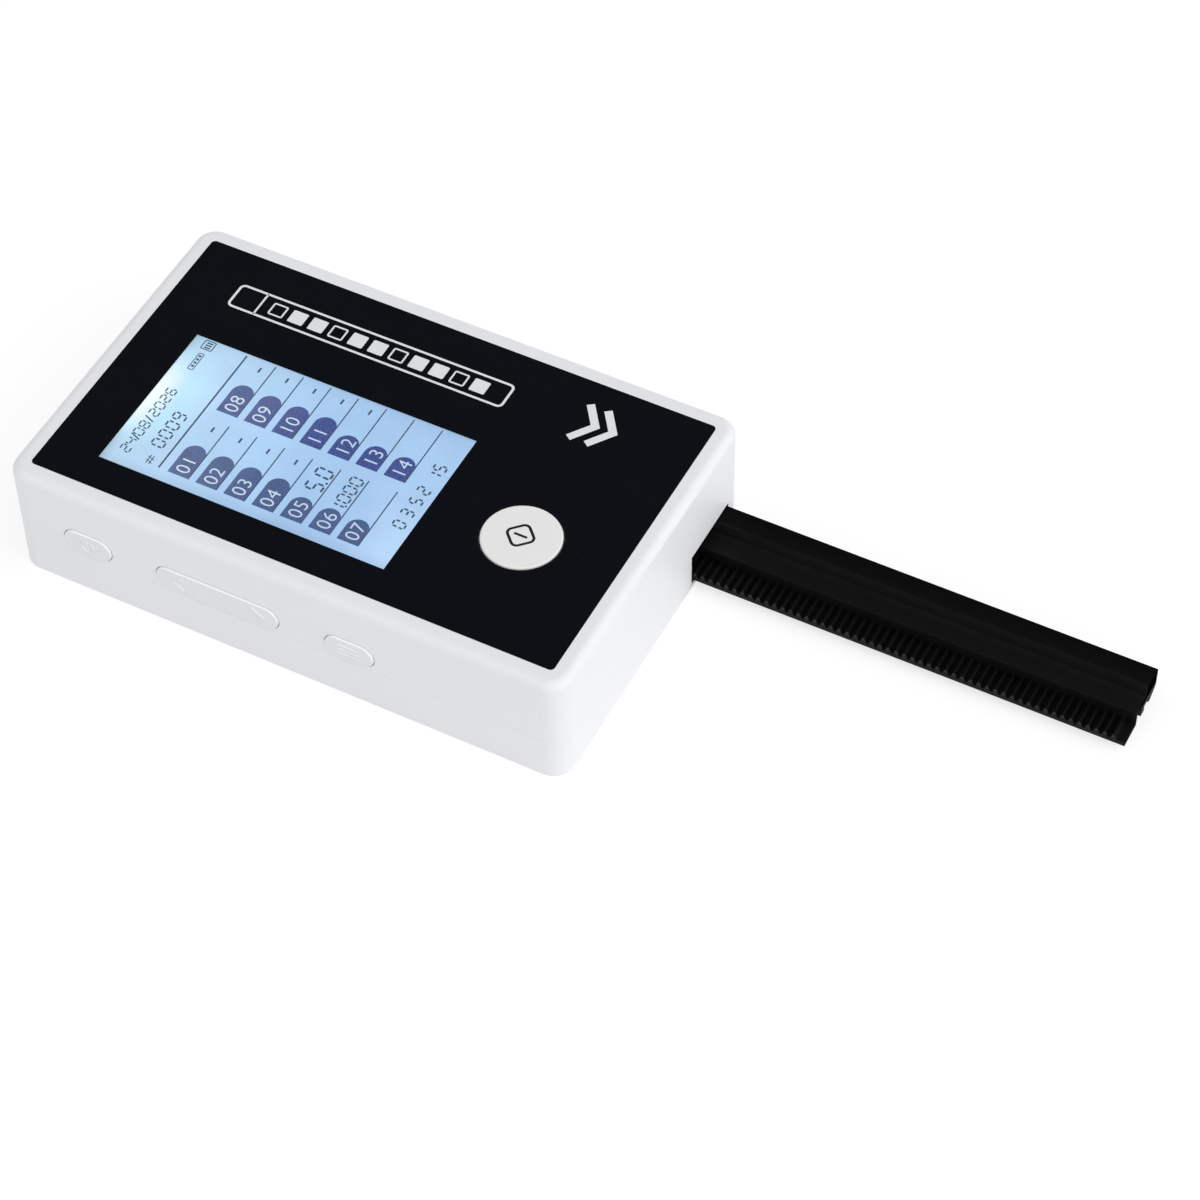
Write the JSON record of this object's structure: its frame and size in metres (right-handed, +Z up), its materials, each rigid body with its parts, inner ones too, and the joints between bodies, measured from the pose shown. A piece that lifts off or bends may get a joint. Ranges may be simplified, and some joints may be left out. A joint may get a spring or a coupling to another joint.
{
  "type": "urine analyzer",
  "caption": "Pocket test-strip analyzer: flat two-shell case with glossy display panel, round start key, side keys and a motor-driven rack tray that slides out of one end.",
  "frame": {"origin": "centre of the flat base of the case", "axes": "+X towards the end that the strip tray comes out of, +Y away from the side keys, +Z up"},
  "size_m": [0.2203, 0.0788, 0.0281],
  "materials": {
    "white_case": "fine satin moulded ABS",
    "black_panel": "polished black-backed sheet",
    "clear_window": "polished clear",
    "display_cell": "clear cell with blue light behind",
    "light_guide": "milky",
    "white_moulding": "moulded",
    "key_white": "fine satin",
    "black_tray": "fine satin moulded",
    "black_moulding": "moulded",
    "grey_moulding": "moulded",
    "board_green": "solder mask",
    "chip_black": "moulded",
    "bare_steel": "zinc plated",
    "motor_can": "plated can",
    "bronze": "sintered",
    "acetal": "natural acetal",
    "pack_silver": "wrapped pack",
    "foam": "adhesive foam",
    "contact_rubber": "layered silicone",
    "lead_red": "wire insulation",
    "lamp": "clear epoxy",
    "tile_white": "ceramic white"
  },
  "bodies": {
    "case": {"top_shell": "white_case", "bottom_shell": "white_case", "case_screws": "bare_steel", "face_panel": "black_panel", "display_window": "clear_window", "lcd_glass": "display_cell", "lcd_backlight": "light_guide", "contact_strip": "contact_rubber", "lcd_frame": "white_moulding", "main_board": "board_green", "board_screws": "bare_steel", "usb_socket": "bare_steel", "processor": "chip_black", "motor_driver": "chip_black", "buzzer": "black_moulding", "battery": "pack_silver", "battery_pad": "foam", "battery_connector": "white_moulding", "battery_leads": "lead_red", "start_switch": "black_moulding", "power_switch": "black_moulding", "rocker_switch_rear": "black_moulding", "rocker_switch_front": "black_moulding", "menu_switch": "black_moulding", "tray_guide": "grey_moulding", "guide_screws": "bare_steel", "inner_bush": "bronze", "outer_bush": "bronze", "gear_plate": "bare_steel", "plate_screws": "bare_steel", "motor_body": "motor_can", "motor_screws": "bare_steel", "motor_terminal": "black_moulding", "optical_head": "black_moulding", "head_glass": "clear_window", "sensor_board": "board_green", "head_lamps": "lamp", "photodiode": "chip_black", "head_connector": "black_moulding", "head_screws": "bare_steel"},
    "tray": {"strip_tray": "black_tray", "white_reference": "tile_white"},
    "pinion": {"drive_pinion": "acetal", "reduction_gear": "acetal", "pinion_shaft": "bare_steel"},
    "rotor": {"motor_shaft": "bare_steel", "motor_gear": "bronze"},
    "start_key": {"start_button": "key_white", "start_switch_plunger": "grey_moulding"},
    "power_push": {"power_key": "key_white", "power_switch_plunger": "grey_moulding"},
    "rocker": {"rocker_key": "key_white", "rocker_switch_plungers": "grey_moulding"},
    "menu_push": {"menu_key": "key_white", "menu_switch_plunger": "grey_moulding"}
  },
  "joints": [
    {"name": "tray_slide", "type": "slide", "parent": "case", "child": "tray", "axis": [1, 0, 0], "range_m": [-0.094, 0]},
    {"name": "pinion_spin", "type": "hinge", "parent": "case", "child": "pinion", "pos_m": [0.047, 0.012, 0.00837], "axis": [0, 1, 0], "range_deg": [0, 1181.6]},
    {"name": "rotor_spin", "type": "hinge", "parent": "case", "child": "rotor", "pos_m": [0.03862, 0.008, 0.00896], "axis": [0, 1, 0], "range_deg": [-2363.2, 0]},
    {"name": "start_press", "type": "slide", "parent": "case", "child": "start_key", "axis": [0, 0, -1], "range_m": [0, 0.0005], "stiffness_N_per_m": 600, "springref_m": -0.0005},
    {"name": "power_press", "type": "slide", "parent": "case", "child": "power_push", "axis": [0, 1, 0], "range_m": [0, 0.0005], "stiffness_N_per_m": 600, "springref_m": -0.0005},
    {"name": "menu_press", "type": "slide", "parent": "case", "child": "menu_push", "axis": [0, 1, 0], "range_m": [0, 0.0005], "stiffness_N_per_m": 600, "springref_m": -0.0005},
    {"name": "rocker_tilt", "type": "hinge", "parent": "case", "child": "rocker", "pos_m": [-0.0145, -0.0354, 0.0142], "axis": [0, 0, 1], "range_deg": [-1.7, 1.7], "stiffness_Nm_per_rad": 0.12}
  ],
  "couplings": [
    {"joint": "pinion_spin", "follows": "tray_slide", "rad_per_m": -219.3},
    {"joint": "rotor_spin", "follows": "tray_slide", "rad_per_m": 438.6}
  ]
}
